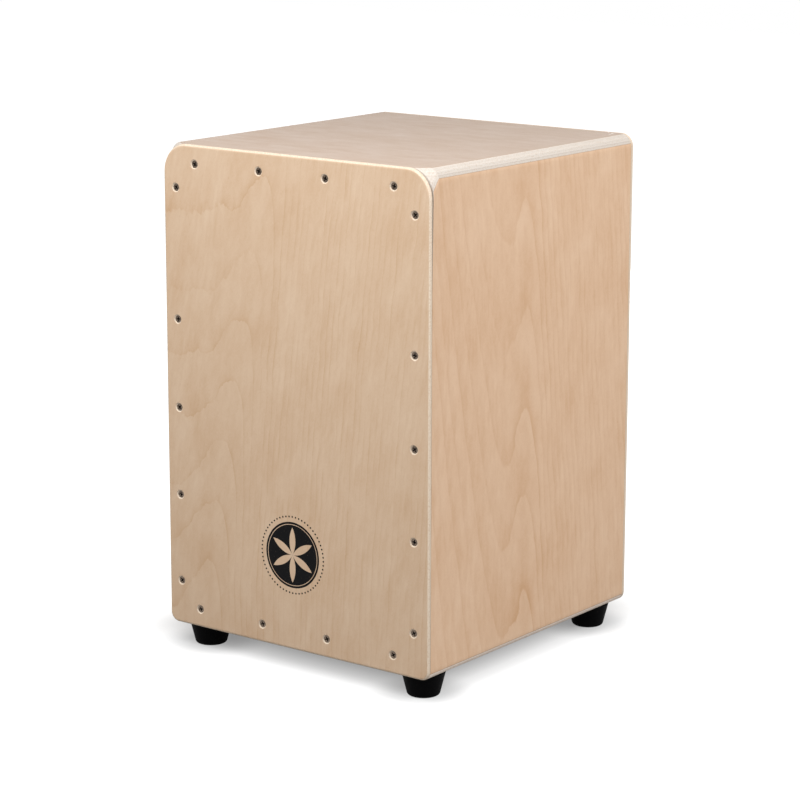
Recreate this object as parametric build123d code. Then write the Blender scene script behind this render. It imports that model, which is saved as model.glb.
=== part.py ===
"""Cajon: a plywood box drum that the player sits on and strikes on its thin front plate.

Frame: the origin is on the floor under the middle of the drum, +Z is up, the front plate
faces -Y, and +X is to the right for someone who looks at the front plate.
"""
from build123d import *
import os

# ---------------------------------------------------------------------------
# Driving dimensions, in millimetres
# ---------------------------------------------------------------------------

# Box, without its feet
box_width = 300.0
box_height = 448.0
box_depth = 314.0

# Plywood
panel_thickness = 9.0
front_plate_thickness = 3.2
back_plate_thickness = 4.0

# Corner joints: the top and bottom panels are rabbeted over the ends of the side panels
rabbet_depth = 2.6

# Rounded edges
top_edge_radius = 12.0
bottom_edge_radius = 9.0
front_corner_radius = 26.0
front_corner_blend = 9.0
front_plate_edge_radius = 2.7
back_plate_edge_radius = 1.2

# Arris: the small chamfer round the inner edge of both plates, which shows as a fine seam
plate_arris = 0.3

# Bevels behind the front plate's upper corners, which leave them free to slap
slap_bevel_top_leg = 30.0
slap_bevel_side_leg = 105.0
slap_bevel_depth = 1.7

# Cleats: the battens inside the box that the two plates are screwed to
end_cleat_width = 16.5
side_cleat_width = 13.0
cleat_depth = 15.0
cleat_chamfer = 2.5

# Sound port in the back plate
port_radius = 60.0
port_height = 250.0
port_edge_radius = 1.2

# Countersunk wood screws of the front and back plates
screw_head_radius = 3.5
screw_shank_radius = 1.75
screw_length = 16.0
screw_point_length = 4.0
countersink_ring = 0.9
shank_clearance = 0.1

# Screw pattern of the front plate, which sits a little to the left of the middle
front_pattern_x = -0.9
row_screw_count = 4
row_end_inset = 38.0
column_bottom_inset = 41.2
column_top_inset = 39.8
column_upper_gap = 120.5
column_lower_count = 4

# Screw pattern of the back plate: rows as in front, and evenly spaced columns
back_column_inset = 60.0
back_column_count = 3

# Feet: tapered rubber, with a recess for a screw and its washer; their pattern sits a little
# to the right of the middle
foot_pattern_x = 1.5
foot_height = 22.0
foot_top_radius = 19.9
foot_bottom_radius = 14.4
foot_edge_radius = 3.0
foot_inset = 26.0
foot_recess_radius = 7.0
foot_recess_depth = 15.0
washer_thickness = 1.2
washer_clearance = 0.3
foot_screw_head_radius = 4.0
foot_screw_head_height = 2.6
foot_screw_radius = 2.0
foot_screw_bite = 7.5
foot_screw_point = 3.0

# Snares: two sets of wires, soldered to clips on a bar, that touch the back of the front plate
snare_bar_depth = 18.0
snare_bar_height = 30.0
snare_free_length = 105.0
wire_tip_gap = 14.0
wire_count = 10
wire_radius = 0.9
wire_groove_depth = 0.4
wire_touch_gap = 0.1
wire_seat_length = 9.0
clip_thickness = 1.2
clip_height = 13.0
clip_tab = 10.0
clip_centre_gap = 60.0
clip_side_gap = 18.0
clip_top_margin = 3.0
clip_screw_head_radius = 3.0
clip_screw_radius = 1.4
clip_screw_bite = 11.0
clip_screw_point = 2.5
clip_screw_head_clearance = 0.2

# ---------------------------------------------------------------------------
# Faces and levels that follow from them
# ---------------------------------------------------------------------------

bottom_z = foot_height
top_z = bottom_z + box_height
middle_z = (bottom_z + top_z) / 2
half_width = box_width / 2
front_y = -box_depth / 2
back_y = box_depth / 2
body_front_y = front_y + front_plate_thickness
body_back_y = back_y - back_plate_thickness

inner_half_width = half_width - panel_thickness
inner_bottom_z = bottom_z + panel_thickness
inner_top_z = top_z - panel_thickness
lip_thickness = panel_thickness - rabbet_depth

end_cleat_top_z = inner_top_z - end_cleat_width
end_cleat_bottom_z = inner_bottom_z + end_cleat_width
side_cleat_x = inner_half_width - side_cleat_width

port_z = bottom_z + port_height

wire_stand_out = 2 * wire_radius - wire_groove_depth
snare_bar_front_y = body_front_y + wire_touch_gap + wire_stand_out + clip_thickness
snare_bar_top_z = end_cleat_top_z - wire_tip_gap - snare_free_length
clip_inner_x = clip_centre_gap / 2
clip_outer_x = side_cleat_x - clip_side_gap


# ---------------------------------------------------------------------------
# Building helpers
# ---------------------------------------------------------------------------

def block(x_limits, y_limits, z_limits):
    """A rectangular solid between three pairs of limits."""
    sizes = [high - low for low, high in (x_limits, y_limits, z_limits)]
    centres = [(high + low) / 2 for low, high in (x_limits, y_limits, z_limits)]
    return Pos(*centres) * Box(*sizes)


def upright(y):
    """The upright plane at depth y, drawn on in X and Z, with its normal towards the front."""
    return Plane.XZ.offset(-y)


def slab(outline, low_y, high_y):
    """An outline drawn in X and Z, as a solid between two depths."""
    return extrude(upright(high_y) * outline, high_y - low_y)


def box_outline(top_radius):
    """The box seen from the front, with its upper corners at their own radius."""
    outline = Pos(0, middle_z) * Rectangle(box_width, box_height)
    outline = fillet(outline.vertices().group_by(Axis.Y)[-1], top_radius)
    return fillet(outline.vertices().group_by(Axis.Y)[0], bottom_edge_radius)


def turned(points):
    """A solid of revolution about Z, from (radius, height) points."""
    return revolve(Plane.XZ * Polygon(*points, align=None), Axis.Z)


def mirrored(solid):
    """The piece's twin on the other side of the drum."""
    return mirror(solid, Plane.YZ)


# ---------------------------------------------------------------------------
# Plywood box
# ---------------------------------------------------------------------------

def body_envelope():
    """The rounded outside of the four panels, before it is divided into them.

    The upper corners start at the front plate's large radius and blend back to the smaller
    roundover of the long edges.
    """
    blend_y = body_front_y + front_corner_blend
    large = upright(body_front_y) * box_outline(front_corner_radius)
    small = upright(blend_y) * box_outline(top_edge_radius)
    return loft([large, small], ruled=True) + slab(box_outline(top_edge_radius), blend_y, body_back_y)


def slap_bevel():
    """The corner planed off the box behind the front plate's upper right corner.

    The cut fades out across the top at one leg and down the side at the other.
    """
    top_end = Vector(half_width - slap_bevel_top_leg, body_front_y, top_z)
    side_end = Vector(half_width, body_front_y, top_z - slap_bevel_side_leg)
    deepest = Vector(half_width, body_front_y + slap_bevel_depth, top_z)
    fade_line = side_end - top_end
    cut = Plane(origin=deepest, x_dir=fade_line, z_dir=fade_line.cross(deepest - top_end))
    reach = 2 * fade_line.length
    return extrude(cut * Rectangle(reach, reach), slap_bevel_depth)


def end_panel(envelope, outer_z, inner_z):
    """A top or bottom panel: full width, rabbeted along both ends over the side panels."""
    seam_z = outer_z + (inner_z - outer_z) * lip_thickness / panel_thickness
    depth = (body_front_y, body_back_y)
    middle = block((-inner_half_width, inner_half_width), depth, sorted((outer_z, inner_z)))
    lip = block((-half_width, half_width), depth, sorted((outer_z, seam_z)))
    return (middle + lip) & envelope


def side_panel(envelope):
    """The right side panel, which stands between the lips of the top and bottom panels."""
    board = block(
        (inner_half_width, half_width),
        (body_front_y, body_back_y),
        (bottom_z + lip_thickness, top_z - lip_thickness),
    )
    return (board & envelope) - slap_bevel()


# ---------------------------------------------------------------------------
# Cleats
# ---------------------------------------------------------------------------

def end_cleat(wall_z, inward, plate_y, backward):
    """A cleat along X, against the top or bottom panel and one of the plates.

    inward is +1 or -1 along Z and backward is +1 or -1 along Y, both from the corner into the box.
    """
    far_y = plate_y + backward * cleat_depth
    far_z = wall_z + inward * end_cleat_width
    section = Polygon(
        (plate_y, wall_z),
        (far_y, wall_z),
        (far_y, far_z - inward * cleat_chamfer),
        (far_y - backward * cleat_chamfer, far_z),
        (plate_y, far_z),
        align=None,
    )
    return extrude(Plane.YZ * section, inner_half_width, both=True)


def side_cleat(plate_y, backward):
    """The right cleat along Z, against the side panel and one of the plates."""
    far_y = plate_y + backward * cleat_depth
    section = Polygon(
        (inner_half_width, plate_y),
        (inner_half_width, far_y),
        (side_cleat_x + cleat_chamfer, far_y),
        (side_cleat_x, far_y - backward * cleat_chamfer),
        (side_cleat_x, plate_y),
        align=None,
    )
    half_length = (end_cleat_top_z - end_cleat_bottom_z) / 2
    return extrude(Plane.XY.offset(middle_z) * section, half_length, both=True)


# ---------------------------------------------------------------------------
# Plates and their screws
# ---------------------------------------------------------------------------

def plate_screw():
    """A countersunk wood screw that points down -Z, with the plate's surface at height 0."""
    head_z = -countersink_ring
    neck_z = head_z - (screw_head_radius - screw_shank_radius)
    tip_z = head_z - screw_length
    return turned([
        (0, head_z),
        (screw_head_radius, head_z),
        (screw_shank_radius, neck_z),
        (screw_shank_radius, tip_z + screw_point_length),
        (0, tip_z),
    ])


def countersunk_hole(plate_thickness):
    """The hole for that screw: a clearance hole, with a countersink wider than the head."""
    mouth_radius = screw_head_radius + countersink_ring
    hole_radius = screw_shank_radius + shank_clearance
    return turned([
        (0, 0),
        (mouth_radius, 0),
        (hole_radius, hole_radius - mouth_radius),
        (hole_radius, -plate_thickness),
        (0, -plate_thickness),
    ])


def even_steps(first, last, count):
    """Evenly spaced values from first to last."""
    return [first + (last - first) * step / (count - 1) for step in range(count)]


def row_places():
    """The (x, z) places of the screws along the top and bottom cleats."""
    end_x = half_width - row_end_inset
    rows_z = (inner_top_z - end_cleat_width / 2, inner_bottom_z + end_cleat_width / 2)
    return [(x, z) for z in rows_z for x in even_steps(-end_x, end_x, row_screw_count)]


def column_places(heights):
    """The (x, z) places of the screws up both side cleats, at the given heights."""
    column_x = inner_half_width - side_cleat_width / 2
    return [(side * column_x, z) for side in (-1, 1) for z in heights]


def front_screw_places():
    """Rows top and bottom, and columns whose upper gap is wider than the others."""
    highest = top_z - column_top_inset
    lower = even_steps(bottom_z + column_bottom_inset, highest - column_upper_gap, column_lower_count)
    pattern = row_places() + column_places(lower + [highest])
    return [(x + front_pattern_x, z) for x, z in pattern]


def back_screw_places():
    """Rows top and bottom, and evenly spaced columns."""
    lowest = bottom_z + back_column_inset
    highest = top_z - back_column_inset
    return row_places() + column_places(even_steps(lowest, highest, back_column_count))


def on_front(solid, places):
    """Copies of a solid at places on the front plate, its +Z turned to face forwards."""
    plane = upright(front_y)
    return [plane * Pos(x, z, 0) * solid for x, z in places]


def on_back(solid, places):
    """Copies of a solid at places on the back plate, its +Z turned to face backwards."""
    plane = Plane(origin=(0, back_y, 0), x_dir=(-1, 0, 0), z_dir=(0, 1, 0))
    return [plane * Pos(-x, z, 0) * solid for x, z in places]


def front_plate():
    """The struck plate: thin, with large upper corners and a softened front edge."""
    plate = slab(box_outline(front_corner_radius), front_y, body_front_y)
    plate = chamfer(plate.faces().sort_by(Axis.Y)[-1].edges(), plate_arris)
    plate = fillet(plate.faces().sort_by(Axis.Y)[0].edges(), front_plate_edge_radius)
    return plate - on_front(countersunk_hole(front_plate_thickness), front_screw_places())


def back_plate():
    """The rear plate, with the round sound port."""
    plate = slab(box_outline(top_edge_radius), body_back_y, back_y)
    plate = chamfer(plate.faces().sort_by(Axis.Y)[0].edges(), plate_arris)
    plate = fillet(plate.faces().sort_by(Axis.Y)[-1].edges(), back_plate_edge_radius)
    plate -= slab(Pos(0, port_z) * Circle(port_radius), body_back_y, back_y)
    rims = plate.edges().filter_by(GeomType.CIRCLE).filter_by(lambda rim: rim.radius == port_radius)
    plate = fillet(rims, port_edge_radius)
    return plate - on_back(countersunk_hole(back_plate_thickness), back_screw_places())


# ---------------------------------------------------------------------------
# Feet
# ---------------------------------------------------------------------------

def rubber_foot():
    """A tapered foot with a rounded tread edge, open below for its screw and washer."""
    profile = Polygon(
        (foot_recess_radius, 0),
        (foot_bottom_radius, 0),
        (foot_top_radius, foot_height),
        (foot_screw_radius, foot_height),
        (foot_screw_radius, foot_recess_depth),
        (foot_recess_radius, foot_recess_depth),
        align=None,
    )
    tread = profile.vertices().group_by(Axis.Y)[0].sort_by(Axis.X)[-1]
    return revolve(Plane.XZ * fillet(tread, foot_edge_radius), Axis.Z)


def foot_washer():
    """The washer at the bottom of the foot's recess."""
    outer = foot_recess_radius - washer_clearance
    low = foot_recess_depth - washer_thickness
    return turned([
        (foot_screw_radius, low),
        (outer, low),
        (outer, foot_recess_depth),
        (foot_screw_radius, foot_recess_depth),
    ])


def foot_screw():
    """The pan-head screw, up through the washer and the foot into the bottom panel."""
    seat_z = foot_recess_depth - washer_thickness
    tip_z = foot_height + foot_screw_bite
    return turned([
        (0, seat_z - foot_screw_head_height),
        (foot_screw_head_radius, seat_z - foot_screw_head_height),
        (foot_screw_head_radius, seat_z),
        (foot_screw_radius, seat_z),
        (foot_screw_radius, tip_z - foot_screw_point),
        (0, tip_z),
    ])


def foot_places():
    """Name and (x, y) place of each foot."""
    left = foot_pattern_x - half_width + foot_inset
    right = foot_pattern_x + half_width - foot_inset
    y = box_depth / 2 - foot_inset
    return {
        "front_left": (left, -y),
        "front_right": (right, -y),
        "back_left": (left, y),
        "back_right": (right, y),
    }


def under_each_corner(solid):
    """Copies of a solid at the four feet."""
    return [Pos(x, y, 0) * solid for x, y in foot_places().values()]


# ---------------------------------------------------------------------------
# Snares
# ---------------------------------------------------------------------------

def snare_bar():
    """The wooden bar between the front side cleats that carries both sets of wires."""
    return block(
        (-side_cleat_x, side_cleat_x),
        (snare_bar_front_y, snare_bar_front_y + snare_bar_depth),
        (snare_bar_top_z - snare_bar_height, snare_bar_top_z),
    )


def snare_wires():
    """The right set of wires, side by side, from the clip up to below the top cleat."""
    axis_y = body_front_y + wire_touch_gap + wire_radius
    low_z = snare_bar_top_z - clip_top_margin - wire_seat_length
    length = end_cleat_top_z - wire_tip_gap - low_z
    first_x = clip_inner_x + clip_tab + wire_radius
    last_x = clip_outer_x - clip_tab - wire_radius
    wire = extrude(Circle(wire_radius), length)
    return [Pos(x, axis_y, low_z) * wire for x in even_steps(first_x, last_x, wire_count)]


def clip_screws():
    """The right clip's two pan-head screws, their heads lower than the wires."""
    head_height = wire_stand_out - clip_screw_head_clearance
    bite = clip_thickness + clip_screw_bite
    screw = turned([
        (0, head_height),
        (clip_screw_head_radius, head_height),
        (clip_screw_head_radius, 0),
        (clip_screw_radius, 0),
        (clip_screw_radius, clip_screw_point - bite),
        (0, -bite),
    ])
    plane = upright(snare_bar_front_y - clip_thickness)
    z = snare_bar_top_z - clip_top_margin - clip_height / 2
    places = (clip_inner_x + clip_tab / 2, clip_outer_x - clip_tab / 2)
    return [plane * Pos(x, z, 0) * screw for x in places]


def snare_clip():
    """The right clip: a strip with a shallow soldered groove for each wire, on the bar's face."""
    clip_top_z = snare_bar_top_z - clip_top_margin
    strip = block(
        (clip_inner_x, clip_outer_x),
        (snare_bar_front_y - clip_thickness, snare_bar_front_y),
        (clip_top_z - clip_height, clip_top_z),
    )
    return strip - snare_wires() - clip_screws()


# ---------------------------------------------------------------------------
# Assembly
# ---------------------------------------------------------------------------

def cajon():
    """Every separate piece of the drum, by name."""
    envelope = body_envelope()
    bevels = [slap_bevel(), mirrored(slap_bevel())]
    front_screws = on_front(plate_screw(), front_screw_places())
    back_screws = on_back(plate_screw(), back_screw_places())
    foot_screws = under_each_corner(foot_screw())
    right_clip_screws = clip_screws()
    right_wires = snare_wires()
    right_clip = snare_clip()
    all_clip_screws = right_clip_screws + [mirrored(screw) for screw in right_clip_screws]

    right_side = side_panel(envelope)
    front_side_cleat = side_cleat(body_front_y, 1) - bevels[0]
    back_side_cleat = side_cleat(body_back_y, -1) - back_screws

    pieces = {
        "front_plate": front_plate(),
        "front_plate_screws": front_screws,
        "top_panel": end_panel(envelope, top_z, inner_top_z) - bevels,
        "bottom_panel": end_panel(envelope, bottom_z, inner_bottom_z) - foot_screws,
        "right_side_panel": right_side,
        "left_side_panel": mirrored(right_side),
        "back_plate": back_plate(),
        "back_plate_screws": back_screws,
        "front_top_cleat": end_cleat(inner_top_z, -1, body_front_y, 1) - bevels - front_screws,
        "front_bottom_cleat": end_cleat(inner_bottom_z, 1, body_front_y, 1) - front_screws,
        "front_right_cleat": front_side_cleat - front_screws,
        "front_left_cleat": mirrored(front_side_cleat) - front_screws,
        "back_top_cleat": end_cleat(inner_top_z, -1, body_back_y, -1) - back_screws,
        "back_bottom_cleat": end_cleat(inner_bottom_z, 1, body_back_y, -1) - back_screws,
        "back_right_cleat": back_side_cleat,
        "back_left_cleat": mirrored(back_side_cleat),
        "snare_bar": snare_bar() - all_clip_screws,
        "right_snare_clip": right_clip,
        "left_snare_clip": mirrored(right_clip),
        "right_snare_wires": right_wires,
        "left_snare_wires": [mirrored(wire) for wire in right_wires],
        "snare_clip_screws": all_clip_screws,
        "foot_washers": under_each_corner(foot_washer()),
        "foot_screws": foot_screws,
    }
    for corner, (x, y) in foot_places().items():
        pieces[corner + "_foot"] = Pos(x, y, 0) * rubber_foot()
    return pieces


def save(name, piece):
    """Write one node, whether it is one solid or a group of separate ones."""
    solids = piece if isinstance(piece, list) else [piece]
    group = Compound(children=[part for solid in solids for part in solid.solids()])
    export_step(group, os.path.join("parts", name + ".step"))


os.makedirs("parts", exist_ok=True)
for node_name, node_piece in cajon().items():
    save(node_name, node_piece)
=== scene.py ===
"""Dresses the cajon's frame: birch veneer and bare ply edges, pine battens, screws with
threads and cross recesses, coiled snare wires, rubber feet, and a pale studio round it."""
import math
from collections import namedtuple

import bpy
import numpy as np
from bpy.props import FloatProperty, FloatVectorProperty, IntProperty, PointerProperty
from bpy.types import Operator, Panel, PropertyGroup
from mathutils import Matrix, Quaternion, Vector


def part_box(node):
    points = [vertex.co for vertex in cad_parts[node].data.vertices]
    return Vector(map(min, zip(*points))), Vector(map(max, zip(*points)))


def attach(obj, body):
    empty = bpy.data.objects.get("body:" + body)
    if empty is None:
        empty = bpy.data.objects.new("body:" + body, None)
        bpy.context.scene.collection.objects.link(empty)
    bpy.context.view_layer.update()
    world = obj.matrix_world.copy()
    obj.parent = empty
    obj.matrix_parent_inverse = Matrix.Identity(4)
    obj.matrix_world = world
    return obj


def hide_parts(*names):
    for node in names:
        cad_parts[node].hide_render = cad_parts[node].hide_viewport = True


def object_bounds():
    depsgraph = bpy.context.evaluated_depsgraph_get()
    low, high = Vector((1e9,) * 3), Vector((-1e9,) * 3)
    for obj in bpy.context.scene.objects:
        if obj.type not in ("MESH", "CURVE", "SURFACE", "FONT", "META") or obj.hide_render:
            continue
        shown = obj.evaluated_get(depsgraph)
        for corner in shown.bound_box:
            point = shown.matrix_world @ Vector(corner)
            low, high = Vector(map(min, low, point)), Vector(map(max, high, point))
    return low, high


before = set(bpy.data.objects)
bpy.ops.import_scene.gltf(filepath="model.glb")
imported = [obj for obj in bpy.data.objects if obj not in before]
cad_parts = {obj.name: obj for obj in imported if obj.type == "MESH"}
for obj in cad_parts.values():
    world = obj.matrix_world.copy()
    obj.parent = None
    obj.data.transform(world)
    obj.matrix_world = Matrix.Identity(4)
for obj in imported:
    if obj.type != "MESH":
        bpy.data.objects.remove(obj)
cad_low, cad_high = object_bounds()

bl_info = {
    "name": "Cajon Dressing",
    "version": (1, 0, 0),
    "blender": (4, 5, 0),
    "location": "View3D > Sidebar > Cajon",
    "description": "Finishes, fasteners, snares and studio for a plywood cajon",
    "category": "Object",
}

BODY = "root"
MM = 0.001
ORIGIN = (0.0, 0.0, 0.0)

# ---------------------------------------------------------------------------
# Boards: where each one's face is, and how the figure runs in its veneer
# ---------------------------------------------------------------------------

# corner is where the three distances start; across, along and inward are unit directions
Board = namedtuple("Board", "corner across along inward thickness")

# The three distances on a board, in their order
ACROSS, ALONG, BELOW = range(3)

# A line of painted shade, in a joint or along an edge: which distance it lies at, how far, half its width
# and how dark it is
Seam = namedtuple("Seam", "axis level half_width strength")

# Lengths in metres. The rings are the contours of a surface that leans and bends along the
# grain, and goes across it through a valley, over a peak and down from a shoulder. A ring is
# darkest at its crest, a share of the interval, and line turns its slow rise into a thin line.
# Strength is how dark it is, patchy how far patches of it fade out, calm how far it fades away
# from the peak, ragged how rough its edge is, and grain how strong the fibres between are.
Figure = namedtuple("Figure", "lean bend valley left_slope peak height width shoulder "
                              "right_slope interval wander bow crest line strength patchy "
                              "calm ragged grain seed")

FRONT_FIGURE = Figure(0.24, 0.12, 0.060, 0.30, 0.126, 0.048, 0.024, 0.150, 10.0, 0.062, 0.018,
                      0.0, 0.975, 0.7, 0.9, 0.85, 0.0, 1.0, 0.95, 3.0)
RIGHT_FIGURE = Figure(-0.02, 0.0, 0.102, 2.8, 0.138, 0.075, 0.021, 0.156, 12.0, 0.094, 0.024,
                      8.0, 0.93, 0.30, 1.15, 0.40, 0.55, 0.5, 0.95, 11.0)
LEFT_FIGURE = Figure(0.05, 0.0, 0.150, 2.2, 0.196, 0.055, 0.024, 0.222, 14.0, 0.088, 0.022,
                     3.0, 0.93, 0.30, 1.15, 0.40, 0.55, 0.5, 0.95, 27.0)
TOP_FIGURE = Figure(0.03, 0.0, 0.090, 6.0, 0.150, 0.030, 0.040, 0.200, 8.0, 0.120, 0.014,
                    0.0, 0.85, 0.5, 0.35, 0.85, 0.0, 1.0, 0.95, 41.0)
BASE_FIGURE = Figure(0.02, 0.0, 0.120, 7.0, 0.170, 0.030, 0.030, 0.200, 9.0, 0.090, 0.014,
                     0.0, 0.85, 0.5, 0.6, 0.85, 0.0, 1.0, 1.0, 53.0)
BACK_FIGURE = Figure(-0.08, 0.0, 0.130, 1.4, 0.170, 0.060, 0.030, 0.196, 11.0, 0.070, 0.018,
                     0.0, 0.975, 0.7, 0.9, 0.85, 0.3, 1.0, 1.0, 67.0)


def board(node, inward, across, along):
    """The board of a CAD node, whose distances start at the box's outermost corner.

    Each direction counts from the low side of its axis if it points up the axis, and from
    the high side if it points down it.
    """
    low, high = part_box(node)
    corner = Vector()
    for direction in map(Vector, (inward, across, along)):
        for axis in range(3):
            if direction[axis]:
                corner[axis] = low[axis] if direction[axis] > 0 else high[axis]
    thickness = sum(abs(i) * (h - l) for i, l, h in zip(inward, low, high))
    return Board(corner, Vector(across), Vector(along), Vector(inward), thickness)


# ---------------------------------------------------------------------------
# Settings
# ---------------------------------------------------------------------------

def colour(name, description, default):
    """A colour setting."""
    return FloatVectorProperty(name=name, description=description, default=default,
                               subtype="COLOR", size=3, min=0.0, max=1.0)


def length(name, description, default):
    """A length setting, in metres."""
    return FloatProperty(name=name, description=description, default=default,
                         min=0.0, unit="LENGTH", precision=5)


def share(name, description, default):
    """A setting between nothing and all."""
    return FloatProperty(name=name, description=description, default=default,
                         min=0.0, max=1.0, subtype="FACTOR")


def angle(name, description, degrees):
    """An angle setting."""
    return FloatProperty(name=name, description=description, default=math.radians(degrees),
                         subtype="ANGLE")


def power(name, description, default):
    """The power of a lamp, as a setting."""
    return FloatProperty(name=name, description=description, default=default, subtype="POWER")


class CajonWood(PropertyGroup):
    """Colours and contrast of the veneers, ply edges and battens."""

    front: colour("Front veneer", "Early wood of the front plate", (0.72, 0.545, 0.393))
    side: colour("Side veneer", "Early wood of the side panels", (0.845, 0.605, 0.425))
    lid: colour("Top veneer", "Early wood of the top and bottom panels", (0.535, 0.432, 0.362))
    back: colour("Back veneer", "Early wood of the back plate", (0.65, 0.465, 0.32))
    late: colour("Late wood tint", "What late wood multiplies a veneer's colour by", (0.77, 0.63, 0.49))
    panel_ply: colour("Panel plies", "Plies of the panels, cut along their grain", (0.70, 0.64, 0.58))
    # Painted light: a lighter copy of the plies, so the bottom panel's downward-turned edge looks lit
    lit_base_ply: colour("Bottom plies", "Plies of the bottom panel's fresh edge", (1.0, 0.88, 0.78))
    plate_ply: colour("Plate plies", "Plies of the two plates, cut along their grain", (0.83, 0.70, 0.56))
    end_grain: share("End grain", "What the plies' colour is multiplied by where they are cut across", 0.95)
    glue: colour("Glue line", "The thin lines between plies", (0.62, 0.48, 0.36))
    # Painted shade: the colour that the seam lines and the front plate's left and lower edges are darkened
    # towards
    dirt: colour("Dirt", "What dirt in the seams multiplies the wood's colour by", (0.25, 0.19, 0.15))
    pine: colour("Pine", "Early wood of the battens", (0.70, 0.53, 0.33))
    veneer: length("Veneer thickness", "Depth at which sanding breaks through the face", 0.45 * MM)
    ply: length("Ply thickness", "Thickness of each inner ply", 1.3 * MM)
    ring_contrast: share("Ring contrast", "How much the rings show in the veneer", 0.70)
    fibre_contrast: share("Fibre contrast", "How much the fibres show in the veneer", 0.60)
    blotch_contrast: share("Blotch contrast", "How much slow blotches show in the veneer", 0.65)
    roughness: share("Roughness", "Roughness of the satin lacquer", 0.46)


class CajonRosette(PropertyGroup):
    """The printed six-petal rosette low on the front plate."""

    height: length("Height", "Height of its middle above the floor", 110.5 * MM)
    disc: length("Disc radius", "Radius of the inked disc", 30.5 * MM)
    petal: length("Petal length", "Reach of each petal from the middle", 25.5 * MM)
    rim: length("Rim radius", "Radius of the bare line inside the disc", 28.2 * MM)
    beads: length("Bead circle", "Radius of the circle of beads", 35.4 * MM)
    bead: length("Bead radius", "Radius of each bead", 0.85 * MM)
    bead_count: IntProperty(name="Bead count", description="Beads round the disc", default=60, min=3)
    ink: colour("Ink", "Colour of the print", (0.004, 0.004, 0.0045))


class CajonScrews(PropertyGroup):
    """Recesses and threads of every screw, and the plate screws' plating."""

    pitch: length("Thread pitch", "Distance between the turns of the thread", 1.6 * MM)
    thread: length("Thread depth", "Height of the thread above its root", 0.45 * MM)
    wing: share("Wing reach", "Reach of the cross recess, as a share of the head's radius", 0.62)
    wing_width: share("Wing width", "Half width of a wing, as a share of the head's radius", 0.14)
    recess: share("Recess depth", "Depth of the recess, as a share of the head's radius", 0.50)
    plating: colour("Dark zinc", "Colour of the plate screws", (0.17, 0.13, 0.10))
    bright: colour("Bright zinc", "Colour of the washers and pan heads", (0.62, 0.62, 0.61))


class CajonSnares(PropertyGroup):
    """The coiled wires and their brass clips."""

    wires: IntProperty(name="Wires", description="Wires in each set", default=10, min=2)
    turn: length("Coil pitch", "Distance between the turns of the coiled wire", 0.9 * MM)
    groove: length("Coil groove", "Depth of the groove between two turns", 0.16 * MM)
    steel: colour("Wire steel", "Colour of the drawn wire", (0.60, 0.60, 0.61))
    brass: colour("Brass", "Colour of the rolled strip", (0.72, 0.53, 0.24))


class CajonFeet(PropertyGroup):
    """The moulded rubber feet."""

    rubber: colour("Rubber", "Colour of the feet", (0.0022, 0.0022, 0.0024))
    dust: colour("Dust", "Colour of the dust that settles on the rubber", (0.10, 0.095, 0.09))


class CajonStage(PropertyGroup):
    """Floor, studio light and camera."""

    azimuth: angle("Azimuth", "Camera's turn to the drum's right", 37.30)
    elevation: angle("Elevation", "Camera's height above the horizon", 12.46)
    roll: angle("Roll", "Camera's tilt about its line of sight", 0.124)
    distance: length("Distance", "From the camera to the point that it looks at", 2.5063)
    lens: FloatProperty(name="Lens", description="Focal length", default=121.9, subtype="DISTANCE_CAMERA")
    floor: colour("Floor", "Colour of the floor", (0.33, 0.33, 0.33))
    # The floor's painted shadow: floor white is least under the drum, and shadow and contact give how far
    # the painted shadow reaches
    floor_glow: share("Floor white", "Lift of the floor under the drum to the white background", 0.30)
    shadow: length("Shadow reach", "How far the drum's shadow lies out to the left and the back", 75 * MM)
    contact: length("Contact shadow", "How far the shadow round each foot reaches", 42 * MM)
    fill: FloatProperty(name="Fill", description="Strength of the even light from all round", default=0.34)
    front_lamp: power("Front lamp", "Soft box before the front plate", 13.2)
    side_lamp: power("Side lamp", "Soft box beside the right panel", 16.6)
    back_lamp: power("Back lamp", "Soft box behind the drum", 11.0)


# ---------------------------------------------------------------------------
# Node wiring
# ---------------------------------------------------------------------------

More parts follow.
